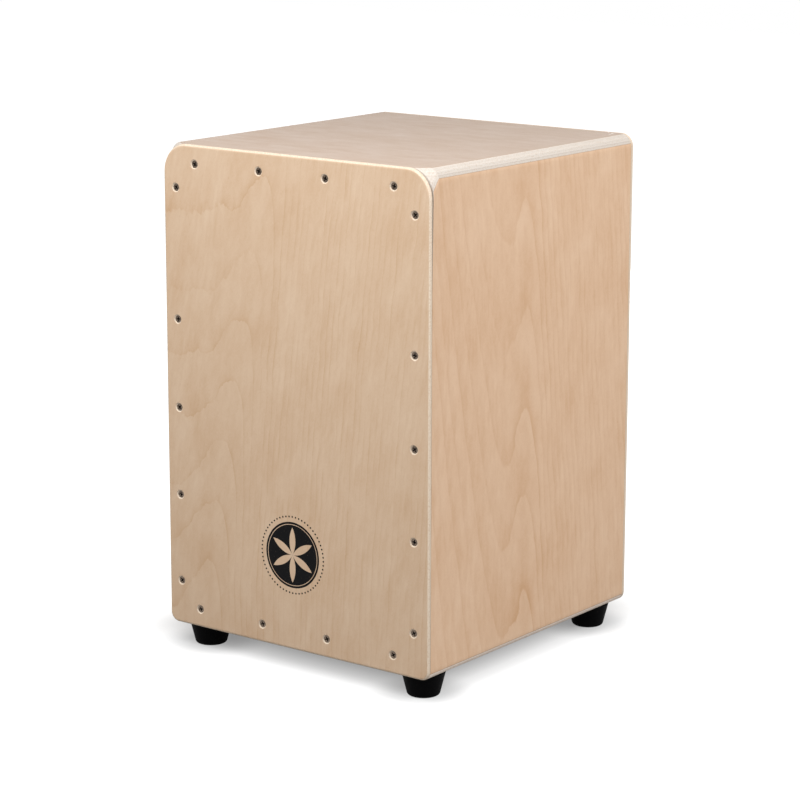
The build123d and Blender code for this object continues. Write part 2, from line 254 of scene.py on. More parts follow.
class Bench:
    """Wires one node tree. Each method adds a node and returns its output.

    A socket takes a number, a colour or a vector as it is, and another node's output by a link.
    """

    def __init__(self, tree):
        self.tree = tree

    def put(self, socket, value):
        """Writes a value on a socket, or links an output to it."""
        if isinstance(value, bpy.types.NodeSocket):
            self.tree.links.new(value, socket)
        elif socket.type == "RGBA":
            socket.default_value = (*value, 1.0)
        else:
            socket.default_value = value

    def add(self, kind, inputs=None, **settings):
        """Adds a node; inputs go by socket number or name."""
        node = self.tree.nodes.new(kind)
        count = len(self.tree.nodes)
        node.location = (count % 10 * 190, -(count // 10) * 260)
        for key, value in settings.items():
            setattr(node, key, value)
        for key, value in (inputs or {}).items():
            self.put(node.inputs[key], value)
        return node

    def math(self, operation, a, b=0.0, c=0.0):
        """One step of arithmetic."""
        return self.add("ShaderNodeMath", {0: a, 1: b, 2: c}, operation=operation).outputs[0]

    def plus(self, a, b):
        """a + b"""
        return self.math("ADD", a, b)

    def minus(self, a, b):
        """a - b"""
        return self.math("SUBTRACT", a, b)

    def times(self, a, b):
        """a * b"""
        return self.math("MULTIPLY", a, b)

    def total(self, *terms):
        """The sum of weighted values, given as (value, weight) pairs."""
        result = 0.0
        for value, weight in terms:
            result = self.math("MULTIPLY_ADD", value, weight, result)
        return result

    def step(self, value, low, high, start=0.0, end=1.0):
        """A smooth step from start to end as the value goes from low to high."""
        node = self.add("ShaderNodeMapRange", {0: value, 1: low, 2: high, 3: start, 4: end},
                        interpolation_type="SMOOTHSTEP")
        return node.outputs[0]

    def fall(self, value, low, high):
        """A smooth step from 1 down to 0."""
        return self.step(value, low, high, 1.0, 0.0)

    def gap(self, a, b):
        """How far apart two values are."""
        return self.math("ABSOLUTE", self.minus(a, b))

    def vector(self, operation, a, b=ORIGIN, c=ORIGIN):
        """One step of vector arithmetic."""
        node = self.add("ShaderNodeVectorMath", {0: a, 1: b}, operation=operation)
        if operation == "MULTIPLY_ADD":
            self.put(node.inputs[2], c)
        return node.outputs[1 if operation in {"DOT_PRODUCT", "LENGTH"} else 0]

    def parts(self, vector):
        """The three parts of a vector."""
        return self.add("ShaderNodeSeparateXYZ", {0: vector}).outputs

    def join(self, x, y, z):
        """A vector from its three parts."""
        return self.add("ShaderNodeCombineXYZ", {0: x, 1: y, 2: z}).outputs[0]

    def mix(self, factor, a, b):
        """A blend of two colours."""
        node = self.add("ShaderNodeMix", {0: factor, 6: a, 7: b}, data_type="RGBA")
        return node.outputs[2]

    def tint(self, factor, a, b):
        """Colour a multiplied by colour b, by a share."""
        node = self.add("ShaderNodeMix", {0: factor, 6: a, 7: b}, data_type="RGBA", blend_type="MULTIPLY")
        return node.outputs[2]

    def noise(self, place, stretch, seed, detail=2.0, roughness=0.5):
        """Noise between 0 and 1, with this many features to the metre along each direction."""
        moved = self.vector("MULTIPLY_ADD", place, stretch, self.join(seed, seed, seed))
        node = self.add("ShaderNodeTexNoise", {"Vector": moved, "Scale": 1.0, "Detail": detail,
                                               "Roughness": roughness})
        return node.outputs[0]

    def group(self, group, **inputs):
        """Places a node group; returns its outputs by name."""
        node = self.add("ShaderNodeGroup", node_tree=group)
        for key, value in inputs.items():
            self.put(node.inputs[key.replace("_", " ").title()], value)
        return {output.name: output for output in node.outputs}


def node_group(name, inputs, outputs, wire):
    """A shader node group, built once and then found by its name.

    inputs are (name, kind, default); outputs are (name, kind); wire takes the bench and the
    inputs by name, and returns the outputs in order.
    """
    if name in bpy.data.node_groups:
        return bpy.data.node_groups[name]
    group = bpy.data.node_groups.new(name, "ShaderNodeTree")
    for label, kind, default in inputs:
        socket = group.interface.new_socket(label, in_out="INPUT", socket_type="NodeSocket" + kind)
        if kind == "Color":
            socket.default_value = (*default, 1.0)
        else:
            socket.default_value = default
    for label, kind in outputs:
        group.interface.new_socket(label, in_out="OUTPUT", socket_type="NodeSocket" + kind)
    bench = Bench(group)
    given = {socket.name: socket for socket in bench.add("NodeGroupInput").outputs}
    results = wire(bench, given)
    target = bench.add("NodeGroupOutput")
    for socket, result in zip(target.inputs, results):
        bench.put(socket, result)
    return group


def floats(*names):
    """Outputs of a node group that are plain values."""
    return [(name, "Float") for name in names]


def place_group():
    """Distances on a board: across its grain, along it and below its face, and how far its
    surface is turned away from the face (1 where it is parallel to it)."""
    def wire(bench, given):
        local = bench.vector("SUBTRACT", given["Object"], given["Corner"])
        sizes = [bench.vector("DOT_PRODUCT", local, given[way]) for way in ("Across", "Along", "Inward")]
        facing = bench.math("ABSOLUTE", bench.vector("DOT_PRODUCT", given["Normal"], given["Inward"]))
        return bench.join(*sizes), facing
    names = ("Object", "Normal", "Corner", "Across", "Along", "Inward")
    return node_group("Board place", [(n, "Vector", ORIGIN) for n in names],
                      [("Place", "Vector"), ("Facing", "Float")], wire)


def soft(bench, x):
    """x where it is well above 0, and nearly 0 below, with a rounded turn between."""
    softness = 0.010 ** 2
    root = bench.math("SQRT", bench.math("MULTIPLY_ADD", x, x, softness))
    return bench.times(bench.plus(x, root), 0.5)


def figure_surface(bench, given, shaken):
    """Height of the surface whose contours are the rings."""
    left = soft(bench, bench.minus(given["Valley"], shaken))
    right = soft(bench, bench.minus(shaken, given["Shoulder"]))
    off_peak = bench.math("DIVIDE", bench.minus(shaken, given["Peak"]), given["Width"])
    peak = bench.math("EXPONENT", bench.times(bench.times(off_peak, off_peak), -1.0))
    left = bench.times(left, bench.math("MULTIPLY_ADD", given["Bow"], left, 1.0))
    fallen = bench.plus(bench.times(given["Left Slope"], left), bench.times(given["Height"], peak))
    return bench.minus(bench.times(given["Right Slope"], right), fallen)


def ring_darkness(bench, given, phase):
    """Darkness across one ring, as its phase goes from 0 to 1."""
    rise = bench.math("POWER", phase, 2.0)
    line = bench.math("POWER", phase, 12.0)
    close = bench.fall(phase, given["Crest"], 1.0)
    rise = bench.math("MULTIPLY_ADD", bench.minus(line, rise), given["Line"], rise)
    return bench.times(rise, close)


def figure_group():
    """Growth rings of rotary-cut veneer.

    With u across the grain, leant and bent with the distance d along it and shaken by noise,
    the surface is h = right_slope * soft(u - shoulder) - left_slope * left * (1 + bow * left)
    - height * exp(-((u - peak) / width)^2), where left is soft(valley - u) and soft(x) is
    (x + sqrt(x^2 + s^2)) / 2. Rings lie where (d - h) / interval is whole. Each darkens
    up to its crest, as the square of the phase or, for thin lines, its twelfth power, and
    fades from there to the next. Patches and places away from the peak are weaker.
    Flow is the place with the shaken u, for fibres that follow the figure, and Steep goes from
    0 at the peak to 1 where the rings run along the grain.
    """
    def wire(bench, given):
        u, d, depth = bench.parts(given["Place"])
        seed = given["Seed"]
        slow = bench.minus(bench.noise(given["Place"], (9, 3.5, 0), seed), 0.5)
        quick = bench.minus(bench.noise(given["Place"], (48, 24, 0), seed, 3.0), 0.5)
        ragged = bench.minus(bench.noise(given["Place"], (200, 75, 0), seed, 3.0, 0.6), 0.5)
        ragged = bench.times(ragged, given["Ragged"])
        leant = bench.math("MULTIPLY_ADD", d, given["Lean"], u)
        bent = bench.minus(leant, bench.times(given["Bend"], bench.times(d, d)))
        shake = bench.total((slow, 1.0), (quick, 0.45), (ragged, 0.10))
        shaken = bench.plus(bent, bench.times(given["Wander"], shake))
        surface = figure_surface(bench, given, shaken)
        count = bench.math("DIVIDE", bench.minus(d, surface), given["Interval"])
        count = bench.total((count, 1.0), (quick, 0.35), (ragged, 0.13), (slow, 1.6))
        phase = bench.math("FRACT", count)
        own = bench.plus(bench.math("FLOOR", count), seed)
        strength = bench.add("ShaderNodeTexWhiteNoise", {"W": own}, noise_dimensions="1D").outputs[0]
        patches = bench.noise(given["Place"], (60, 18, 0), bench.plus(seed, 5.0), 3.0)
        fade = bench.step(patches, 0.32, 0.66, bench.minus(1.0, given["Patchy"]))
        ring = ring_darkness(bench, given, phase)
        rings = bench.times(bench.times(ring, fade), bench.math("MULTIPLY_ADD", strength, 0.6, 0.4))
        steep = bench.step(bench.gap(shaken, given["Peak"]), 0.0, 0.06)
        loud = bench.times(given["Strength"], bench.minus(1.0, bench.times(given["Calm"], steep)))
        return bench.times(rings, loud), bench.join(shaken, d, depth), steep

    inputs = [("Place", "Vector", ORIGIN)]
    inputs += [(name.replace("_", " ").title(), "Float", 0.0) for name in Figure._fields]
    return node_group("Veneer figure", inputs, [("Rings", "Float"), ("Flow", "Vector"), ("Steep", "Float")],
                      wire)


def fibre_group():
    """Fine structure of wood: short fibres, long streaks along the grain, dark pores, and slow
    blotches, each between 0 and 1."""
    def wire(bench, given):
        place, seed = given["Place"], given["Seed"]
        fine = bench.noise(place, (1300, 450, 900), seed, 3.0, 0.6)
        broad = bench.noise(place, (260, 120, 200), bench.plus(seed, 2.0), 3.0)
        band = bench.noise(place, (85, 28, 60), bench.plus(seed, 3.0), 2.0)
        fibres = bench.total((fine, 0.75), (broad, 0.5), (band, 0.95), (0.60, -1.0))
        streaks = bench.noise(place, (290, 20, 200), bench.plus(seed, 5.0), 3.0)
        pores = bench.step(bench.noise(place, (2300, 170, 1500), bench.plus(seed, 4.0), 1.0), 0.66, 0.76)
        scatter = bench.step(bench.noise(place, (40, 12, 20), bench.plus(seed, 6.0)), 0.42, 0.62)
        blotch = bench.noise(place, (24, 12, 10), bench.plus(seed, 8.0), 3.0)
        return fibres, streaks, bench.times(pores, scatter), blotch
    return node_group("Wood fibre", [("Place", "Vector", ORIGIN), ("Seed", "Float", 0.0)],
                      floats("Fibres", "Streaks", "Pores", "Blotch"), wire)


def ply_group():
    """Edges of a plywood board, read from the depth below its face.

    Bare is 1 where a cut or sanding has gone through the face veneers, that is where the
    surface is deeper than a veneer below both faces, or turned well away from them. Plies
    goes from 0 to 1 between plies cut along and across their grain, Glue marks the lines
    between them, and Rim the line where the face veneer ends.
    """
    def wire(bench, given):
        _, _, depth = bench.parts(given["Place"])
        waver = bench.minus(bench.noise(given["Place"], (60, 60, 60), 1.0, 3.0), 0.5)
        depth = bench.math("MULTIPLY_ADD", waver, 0.10 * MM, depth)
        below = bench.math("MINIMUM", depth, bench.minus(given["Thickness"], depth))
        through = bench.step(bench.minus(below, given["Veneer"]), -0.15 * MM, 0.15 * MM)
        turned = bench.fall(given["Facing"], 0.84, 0.965)
        cut = bench.times(turned, bench.step(below, 0.02 * MM, 0.08 * MM))
        bare = bench.math("MAXIMUM", through, cut)
        count = bench.math("DIVIDE", bench.minus(depth, given["Veneer"]), given["Ply"])
        odd = bench.math("PINGPONG", count, 1.0)
        plies = bench.step(odd, 0.46, 0.54)
        glue = bench.fall(bench.gap(odd, 0.5), 0.02, 0.07)
        rim = bench.fall(bench.gap(below, given["Veneer"]), 0.03 * MM, 0.14 * MM)
        rim = bench.times(rim, bench.minus(1.0, cut))
        return bare, plies, glue, rim
    inputs = [("Place", "Vector", ORIGIN), ("Facing", "Float", 1.0), ("Thickness", "Float", 9 * MM),
              ("Veneer", "Float", 0.6 * MM), ("Ply", "Float", 1.3 * MM)]
    return node_group("Ply edges", inputs, floats("Bare", "Plies", "Glue", "Rim"), wire)


def mottle_group():
    """Two scales of mottling for metal and rubber: Cloud is slow, Grit is fine, and Scuff marks
    sparse short scratches along the stretch. Each lies between 0 and 1."""
    def wire(bench, given):
        place = bench.vector("MULTIPLY", given["Object"], given["Stretch"])
        cloud = bench.noise(place, (160, 160, 160), given["Seed"], 3.0)
        grit = bench.noise(place, (2600, 2600, 2600), given["Seed"], 2.0, 0.6)
        scratch = bench.noise(place, (500, 3500, 3500), given["Seed"], 1.0)
        return cloud, grit, bench.step(scratch, 0.66, 0.74)
    inputs = [("Object", "Vector", ORIGIN), ("Stretch", "Vector", (1.0, 1.0, 1.0)), ("Seed", "Float", 0.0)]
    return node_group("Mottle", inputs, floats("Cloud", "Grit", "Scuff"), wire)


# ---------------------------------------------------------------------------
# Materials
# ---------------------------------------------------------------------------

def new_material(name):
    """A material with a Principled shader: returns it, its bench, the shader and the
    Texture Coordinate outputs."""
    material = bpy.data.materials.new(name)
    material.use_nodes = True
    bench = Bench(material.node_tree)
    shader = material.node_tree.nodes["Principled BSDF"]
    return material, bench, shader, bench.add("ShaderNodeTexCoord").outputs


def coat(bench, shader, tone, roughness, height):
    """Feeds the shader a colour, a roughness and, through a Bump node, a height in metres."""
    bench.put(shader.inputs["Base Color"], tone)
    bench.put(shader.inputs["Roughness"], roughness)
    bump = bench.add("ShaderNodeBump", {"Strength": 1.0, "Distance": 1.0, "Height": height})
    bench.put(shader.inputs["Normal"], bump.outputs[0])


def plywood(name, made, figure, colours, wood, seams, print_on=None):
    """Lacquered veneer on the faces of a board, and bare plies where its edges are cut or
    sanded, given the colours of the veneer and of the plies. Painted shade darkens the seams
    and some edges, and print_on may lay a print over the veneer."""
    veneer_colour, ply_colour = colours
    material, bench, shader, coordinates = new_material(name)
    shader.inputs["Specular IOR Level"].default_value = 0.05
    found = bench.group(place_group(), object=coordinates["Object"], normal=coordinates["Normal"],
                        corner=made.corner, across=made.across, along=made.along, inward=made.inward)
    place = found["Place"]
    grown = bench.group(figure_group(), place=place, **figure._asdict())
    rings = grown["Rings"]
    fibre = bench.group(fibre_group(), place=grown["Flow"], seed=figure.seed)
    edge = bench.group(ply_group(), place=place, facing=found["Facing"], thickness=made.thickness,
                       veneer=wood.veneer, ply=wood.ply)

    contrast = wood.fibre_contrast * figure.grain
    streaks = bench.times(grown["Steep"], bench.minus(fibre["Streaks"], 0.5))
    dark = bench.total((rings, wood.ring_contrast), (streaks, 0.6 * contrast), (fibre["Fibres"], contrast),
                       (fibre["Blotch"], wood.blotch_contrast * figure.grain), (fibre["Pores"], 0.30),
                       (0.25 - (contrast + wood.blotch_contrast * figure.grain) / 2, 1.0))
    face = bench.tint(bench.math("MAXIMUM", dark, 0.0), veneer_colour, wood.late)
    roughness = bench.total((fibre["Fibres"], 0.10), (rings, -0.05), (0.5, 2 * wood.roughness - 0.10))

    if print_on:
        face, roughness = print_on(bench, place, face, roughness)

    speckle = bench.noise(place, (900, 900, 900), figure.seed, 2.0)
    plies = bench.mix(edge["Plies"], ply_colour, [wood.end_grain * part for part in ply_colour])
    plies = bench.mix(bench.times(edge["Glue"], 0.2), plies, wood.glue)
    plies = bench.tint(bench.step(speckle, 0.40, 0.75, 0.0, 0.5), plies, wood.late)
    tone = bench.tint(bench.times(edge["Rim"], 0.55), bench.mix(edge["Bare"], face, plies), wood.glue)
    sides = bench.parts(place)
    # Painted shade: each seam line darkens the wood towards the shade colour, most at its middle
    for seam in seams:
        near = bench.gap(sides[seam.axis], seam.level)
        dirt = bench.step(near, 0.3 * seam.half_width, seam.half_width, seam.strength, 0.0)
        tone = bench.tint(dirt, tone, wood.dirt)
    rough_edge = bench.math("MULTIPLY_ADD", speckle, 0.15, 0.70)
    lacquered = bench.times(bench.minus(1.0, edge["Bare"]), roughness)
    height = bench.total((fibre["Fibres"], 0.015 * MM), (fibre["Pores"], -0.030 * MM),
                         (rings, -0.006 * MM), (edge["Glue"], -0.010 * MM))
    coat(bench, shader, tone, bench.plus(bench.times(edge["Bare"], rough_edge), lacquered), height)
    return material


def rosette_print(made, rosette):
    """Screen-printed rosette: a disc with six bare petals and a bare rim line, in a circle of
    beads.

    A point at distance r and angle t from the middle is folded into one sixth of the turn.
    It lies in a petal where it is nearer than the petal's length to the point at that
    distance, 60 degrees to the other side of the petal's axis.
    """
    def print_on(bench, place, face, roughness):
        middle = (cad_high.x - cad_low.x) / 2 - 2 * MM
        down = cad_high.z - rosette.height
        local = bench.vector("SUBTRACT", place, (middle, down, 0.0))
        local = bench.vector("MULTIPLY", local, (1.0, 1.0, 0.0))
        radius = bench.vector("LENGTH", local)
        x, y, _ = bench.parts(local)
        angle = bench.math("ARCTAN2", x, y)
        sixth = math.tau / 6
        folded = bench.math("PINGPONG", bench.plus(angle, math.tau), sixth / 2)
        point = bench.join(bench.times(radius, bench.math("COSINE", folded)),
                           bench.times(radius, bench.math("SINE", folded)), 0.0)
        far = (rosette.petal / 2, -rosette.petal * math.sin(sixth), 0.0)
        to_far = bench.vector("LENGTH", bench.vector("SUBTRACT", point, far))
        blur = 0.08 * MM
        petal = bench.fall(to_far, rosette.petal - blur, rosette.petal + blur)
        rim = bench.fall(bench.gap(radius, rosette.rim), 0.22 * MM, 0.38 * MM)
        disc = bench.fall(radius, rosette.disc - blur, rosette.disc + blur)
        disc = bench.times(disc, bench.minus(1.0, bench.math("MAXIMUM", petal, rim)))
        turn = math.tau / rosette.bead_count
        aside = bench.math("PINGPONG", bench.plus(angle, math.tau), turn / 2)
        bead_at = bench.join(bench.minus(radius, rosette.beads), bench.times(aside, rosette.beads), 0.0)
        bead = bench.fall(bench.vector("LENGTH", bead_at), rosette.bead - blur, rosette.bead + blur)
        front_only = bench.fall(bench.parts(place)[BELOW], 0.2 * MM, 0.3 * MM)
        inked = bench.times(bench.math("MAXIMUM", disc, bead), front_only)
        thin = bench.noise(place, (1600, 400, 0), 9.0, 2.0)
        inked = bench.times(inked, bench.step(thin, 0.22, 0.36, 0.86))
        face = bench.mix(inked, face, rosette.ink)
        return face, bench.plus(roughness, bench.times(inked, -0.04))
    return print_on


def pine(name, node, along, wood, seed):
    """Planed softwood: rings are circles round a pith that lies off the batten, so its sides
    show stripes and its ends show arcs; late wood is a narrow amber band."""
    material, bench, shader, coordinates = new_material(name)
    low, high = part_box(node)
    length_way = Vector(along)
    across = Vector((along[1] + along[2], along[0], 0.0))
    place = bench.group(place_group(), object=coordinates["Object"], normal=coordinates["Normal"],
                        corner=(low + high) / 2, across=across, along=length_way,
                        inward=length_way.cross(across))["Place"]
    fibre = bench.group(fibre_group(), place=place, seed=seed)
    waver = bench.noise(place, (30, 3, 30), seed, 2.0)
    pith = (0.021 + 0.002 * (seed % 5), 0.0, 0.017)
    spoke = bench.vector("MULTIPLY", bench.vector("ADD", place, pith), (1.0, 0.0, 1.0))
    ring_width = 2.4 * MM
    count = bench.plus(bench.math("DIVIDE", bench.vector("LENGTH", spoke), ring_width), waver)
    phase = bench.math("FRACT", count)
    late = bench.times(bench.step(phase, 0.45, 0.92), bench.fall(phase, 0.93, 1.0))
    dark = bench.total((late, 0.75), (fibre["Fibres"], 0.5), (fibre["Blotch"], 0.4), (0.45, -1.0))
    amber = [part * tone for part, tone in zip(wood.pine, (0.78, 0.60, 0.42))]
    tone = bench.mix(bench.math("MAXIMUM", dark, 0.0), wood.pine, amber)
    coat(bench, shader, bench.tint(bench.times(fibre["Pores"], 0.4), tone, wood.late),
         bench.total((fibre["Fibres"], 0.15), (late, -0.08), (0.60, 1.0)),
         bench.total((fibre["Fibres"], 0.05 * MM), (late, 0.02 * MM)))
    return material


def metal(name, tint, tarnish, roughness, seed, stretch=(1.0, 1.0, 1.0), shade_and_grime=None):
    """Plated or rolled metal: cloudy tarnish, which multiplies the tint by a share, fine grit
    and sparse scuffs. Painted shade with grime fills what lies deeper than a level along a
    direction, when shade_and_grime gives the two."""
    material, bench, shader, coordinates = new_material(name)
    found = bench.group(mottle_group(), object=coordinates["Object"], stretch=stretch, seed=seed)
    worn = bench.total((found["Cloud"], 0.9), (found["Grit"], 0.5), (0.35, -1.0))
    tone = bench.mix(bench.math("MAXIMUM", worn, 0.0), tint, [tarnish * part for part in tint])
    tone = bench.mix(bench.times(found["Scuff"], 0.35), tone, [min(1.0, 1.5 * part) for part in tint])
    if shade_and_grime:
        way, level = shade_and_grime
        # Painted shade with grime: near black below the level, in the recess
        depth = bench.minus(bench.vector("DOT_PRODUCT", coordinates["Object"], way), level)
        tone = bench.mix(bench.step(depth, 0.12 * MM, 0.40 * MM), tone, (0.006, 0.005, 0.005))
    shader.inputs["Metallic"].default_value = 1.0
    coat(bench, shader, tone,
         bench.total((found["Cloud"], 0.16), (found["Grit"], 0.12), (roughness, 1.0), (0.14, -1.0)),
         bench.total((found["Grit"], 0.006 * MM), (found["Scuff"], -0.006 * MM)))
    return material


def moulded_rubber(name, feet):
    """Matt black rubber with a fine moulded grain, and dust that gathers low on the foot."""
    material, bench, shader, coordinates = new_material(name)
    found = bench.group(mottle_group(), object=coordinates["Object"], seed=17.0)
    height = bench.parts(coordinates["Object"])[2]
    low = bench.step(height, 0.0, 9 * MM, 1.0, 0.15)
    dust = bench.times(low, bench.step(found["Cloud"], 0.35, 0.75))
    shader.inputs["Specular IOR Level"].default_value = 0.02
    coat(bench, shader, bench.mix(bench.times(dust, 0.06), feet.rubber, feet.dust),
         bench.total((found["Cloud"], 0.15), (dust, 0.2), (0.50, 1.0)),
         bench.total((found["Grit"], 0.020 * MM), (found["Cloud"], 0.05 * MM)))
    return material


def dress(node, material):
    """Gives a CAD node its finish."""
    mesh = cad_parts[node].data
    mesh.materials.clear()
    mesh.materials.append(material)


# ---------------------------------------------------------------------------
# New pieces
# ---------------------------------------------------------------------------

def new_piece(name, points, faces, material, slot, *nodes):
    """A piece that stands for CAD nodes, smooth but for its sharp edges."""
    mesh = bpy.data.meshes.new(name)
    mesh.from_pydata(points.tolist(), [], faces)
    if mesh.validate():
        raise RuntimeError(name + " has faces that a mesh can't hold")
    mesh.shade_smooth()
    mesh.set_sharp_from_angle(angle=math.radians(38))
    mesh.materials.append(material)
    piece = bpy.data.objects.new(name, mesh)
    bpy.context.scene.collection.objects.link(piece)
    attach(piece, BODY)
    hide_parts(*nodes)
    return piece


def ringed_surface(rings, first, last):
    """A closed surface through rings of points: each ring is joined to the next with quads,
    and the outermost rings close on one point each. Faces turn outwards for rings that go
    anticlockwise as seen from the first point's side."""
    rows, around, _ = rings.shape
    points = np.vstack([first, rings.reshape(-1, 3), last])
    here = np.arange(around)
    beside = np.roll(here, -1)
    start = 1 + around * np.arange(rows - 1)[:, None]
    quads = np.stack([start + here, start + around + here, start + around + beside, start + beside], -1)
    end = len(points) - 1
    opening = np.stack([np.zeros_like(here), 1 + here, 1 + beside], -1)
    closing = np.stack([np.full_like(here, end), end - around + beside, end - around + here], -1)
    return points, quads.reshape(-1, 4), np.vstack([opening, closing])


def gathered(copies):
    """Many surfaces as one list of points and one of faces."""
    points, faces, count = [], [], 0
    for own_points, quads, triangles in copies:
        points.append(own_points)
        faces += (quads + count).tolist() + (triangles + count).tolist()
        count += len(own_points)
    return np.vstack(points), faces


# Radii and heights of a turned screw along its axis, from the head's crown down to the tip
Turning = namedtuple("Turning", "head_radius head_height countersunk radius point length")


def turned_screws(node, way, crown):
    """Reads the screws of a CAD node: where each one's crown is, and their common sizes.

    way is the unit direction from crown to tip, and crown the level of the crowns along it.
    Each screw ends in a single point, the only one at its node's far level.
    """
    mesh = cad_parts[node].data
    points = np.empty(len(mesh.vertices) * 3)
    mesh.vertices.foreach_get("co", points)
    points = points.reshape(-1, 3)
    way = np.array(way)
    levels = points @ way
    hair, one_screw = 0.01 * MM, 6 * MM
    tips = np.unique(points[levels > levels.max() - hair].round(6), axis=0)
    depth = levels - crown
    aside = points - tips[0]
    radii = np.linalg.norm(aside - np.outer(aside @ way, way), axis=1)
    own = radii < one_screw
    radii, depth = radii[own].round(6), depth[own].round(6)
    radius = radii[radii > 10 * hair].min()
    shank = depth[abs(radii - radius) < hair]
    head = depth[abs(radii - radii.max()) < hair]
    sizes = Turning(radii.max(), shank.min(), head.max() < 10 * hair, radius, shank.max(), depth.max())
    crowns = tips - np.outer(tips @ way - crown, way)
    return crowns, sizes


def recessed_cap(sizes, screws, dome):
    """Rings of points out over a screw's head: radii, turns and depths, and the recess's depth
    at the middle.

    Four wings of a set half width w are pressed in: at radius r a wing's wall stands at the
    angle asin(w / r) from its axis, so rings hold points on both sides of each wall. Depth
    is a cone at the middle, and a shallower slope out along the wings.
    """
    radius = sizes.head_radius
    wing, half_width = screws.wing * radius, screws.wing_width * radius
    pit, wall = 0.30 * radius, 0.04 * radius

    cap = np.array([0.10, 0.20, 0.30, 0.42, 0.55, 0.97, 1.03, 1.25, 1.45]) * wing
    edge = np.arcsin(np.minimum(half_width / cap, 0.62))
    brink = np.arcsin(np.minimum((half_width + wall) / cap, 0.68))
    eighth = math.tau / 8
    spread = [brink + (eighth - brink) * part for part in (0.25, 0.5, 0.75)]
    quarter = [-np.full_like(edge, eighth), *(-s for s in spread[::-1]), -brink, -edge,
               np.zeros_like(edge), edge, brink, *spread]
    turns = np.concatenate([np.stack(quarter, -1) + eighth * 2 * count for count in range(4)], -1)
    # Of each quarter's twelve points, three lie on the wing: at -edge, 0 and edge
    on_wing = np.isin(np.arange(len(quarter)), (5, 6, 7))

    cone = screws.recess * radius * np.clip(1 - cap / pit, 0, 1)
    slope = screws.recess * radius * 0.8 * np.clip(1.25 - cap / wing, 0, 1) * (cap < wing)
    pressed = np.where(np.tile(on_wing, 4), np.maximum(cone, slope)[:, None], cone[:, None])
    depths = pressed + (dome * (cap / radius) ** 2)[:, None]
    return cap, turns, depths, cone[0] + pit * 0.1


def head_rim(sizes, dome):
    """Radii and depths of the rings round a screw's head, from its top to the shank."""
    radius, height = sizes.head_radius, sizes.head_height
    bevel = 0.04 * radius
    if sizes.countersunk:
        return np.array([(radius - 2 * bevel, 0.0), (radius - bevel, 0.4 * bevel), (sizes.radius, height)])
    return np.array([(radius * 0.94, dome), (radius - bevel, dome + bevel), (radius, dome + 3 * bevel),
                     (radius, height - bevel), (radius - bevel, height),
                     (sizes.radius + bevel, height), (sizes.radius, height + bevel)])


def threaded_shank(sizes, screws, head_end, turns):
    """Depths of the rings down a screw's shank, and their radii, which swell to the thread's
    crest where depth / pitch less turn / 360 is half way between two whole numbers."""
    rings_per_turn, crest_half_width = 6, 0.22
    shank = np.arange(head_end + 0.2 * screws.pitch, sizes.length - 0.4 * MM, screws.pitch / rings_per_turn)
    taper = np.clip((sizes.length - shank) / (sizes.length - sizes.point), 0, 1)
    cycle = (shank[:, None] / screws.pitch - turns / math.tau) % 1
    ridge = np.clip(1 - abs(cycle - 0.5) / crest_half_width, 0, 1)
    return shank, (sizes.radius - screws.thread * (1 - ridge)) * taper[:, None]


def screw_surface(sizes, screws):
    """One screw with a cross recess and a thread, its crown at the origin and its tip up +Z.

    Rings of points go out over the head, round its rim and down the shank.
    """
    dome = 0.0 if sizes.countersunk else 0.30 * sizes.head_height
    cap, turns, cap_depths, recess_depth = recessed_cap(sizes, screws, dome)
    even = turns[-1]
    rim = head_rim(sizes, dome)
    shank, shank_radii = threaded_shank(sizes, screws, rim[-1, 1], even)

    def all_round(values):
        return np.broadcast_to(values[:, None], (len(values), len(even)))

    radii = np.vstack([all_round(cap), all_round(rim[:, 0]), shank_radii])
    depths = np.vstack([cap_depths, all_round(rim[:, 1]), all_round(shank)])
    angles = np.vstack([turns, np.broadcast_to(even, (len(rim) + len(shank), len(even)))])
    rings = np.stack([radii * np.cos(angles), radii * np.sin(angles), depths], -1)
    return ringed_surface(rings, (0.0, 0.0, recess_depth), (0.0, 0.0, sizes.length))


def driven_screws(name, node, way, crown, finish, slot, screws):
    """All screws of a CAD node, each with its recess turned its own way."""
    crowns, sizes = turned_screws(node, way, crown)
    points, quads, triangles = screw_surface(sizes, screws)
    down = Vector(way)
    aside = down.orthogonal().normalized()
    golden_turn = math.tau * (math.sqrt(5) - 1) / 2
    copies = []
    for count, place in enumerate(crowns):
        turn = golden_turn * count
        first = aside * math.cos(turn) + down.cross(aside) * math.sin(turn)
        axes = np.array([first, down.cross(first), down])
        copies.append((points @ axes + place, quads, triangles))
    return new_piece(name, *gathered(copies), finish, slot, node)


def coiled_wires(name, node, snares, finish):
    """A set of upright wires, each wound as a close coil.

    At height z and turn t the radius is the wire's own, less half the groove's depth times
    1 - cos(2 pi z / pitch - t), which winds the grooves round it as a helix.
    """
    low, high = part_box(node)
    radius = (high.y - low.y) / 2
    rings_per_turn, around_ring = 5, 9
    rows = int((high.z - low.z) / snares.turn * rings_per_turn)
    z = np.linspace(low.z, high.z, rows)[:, None]
    turn = np.arange(around_ring) / around_ring * math.tau
    wave = 1 - np.cos(z / snares.turn * math.tau - turn)
    around = radius - snares.groove / 2 * wave
    copies = []
    for x in np.linspace(low.x + radius, high.x - radius, snares.wires):
        rings = np.stack([x + around * np.cos(turn), low.y + radius + around * np.sin(turn),
                          np.broadcast_to(z, around.shape)], -1)
        ends = [(x, low.y + radius, level) for level in (low.z, high.z)]
        points, quads, triangles = ringed_surface(rings, *ends)
        copies.append((points, quads[:, ::-1], triangles[:, ::-1]))
    return new_piece(name, *gathered(copies), finish, "snare_wire_steel", node)


# ---------------------------------------------------------------------------
# Stage
# ---------------------------------------------------------------------------

def seen_directly(bench):
    """1 for rays that show the background: from the camera, by gloss or through glass."""
    rays = bench.add("ShaderNodeLightPath").outputs
    seen = bench.math("MAXIMUM", rays["Is Camera Ray"], rays["Is Glossy Ray"])
    return bench.math("MAXIMUM", seen, rays["Is Transmission Ray"])


